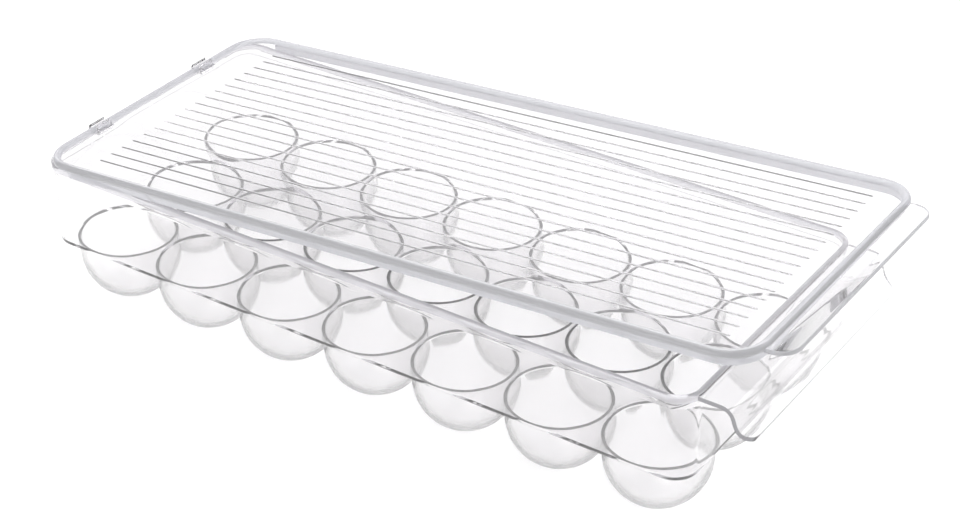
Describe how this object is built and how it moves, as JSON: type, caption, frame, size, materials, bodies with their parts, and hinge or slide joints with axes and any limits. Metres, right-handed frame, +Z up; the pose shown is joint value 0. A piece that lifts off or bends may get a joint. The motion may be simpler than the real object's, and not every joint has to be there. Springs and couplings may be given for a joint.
{
  "type": "egg keeper with flip lid",
  "caption": "Clear refrigerator egg keeper: a tray of round cups with a pull handle and a ribbed lid that flips up on a snap-in rod hinge.",
  "frame": {"origin": "centre of the middle cup's round foot, on the surface that the keeper stands on", "axes": "+X along the tray towards the pull handle, +Y to the back, +Z up"},
  "size_m": [0.388, 0.16, 0.1086],
  "materials": {
    "clear_tray": "glossy, transparent",
    "clear_lid": "glossy, transparent"
  },
  "bodies": {
    "tray": {"tray_wall": "clear_tray", "cup_deck": "clear_tray", "cups_front": "clear_tray", "cups_middle": "clear_tray", "cups_back": "clear_tray", "pull_handle": "clear_tray", "hinge_clips": "clear_tray"},
    "lid": {"lid_panel": "clear_lid", "lid_ribs": "clear_lid", "lid_skirt": "clear_lid", "lid_tab": "clear_lid"}
  },
  "joints": [
    {"name": "lid_flip", "type": "hinge", "parent": "tray", "child": "lid", "pos_m": [-0.1711, 0, 0.0774], "axis": [0, -1, 0], "range_deg": [-4.5, 100.5]}
  ]
}
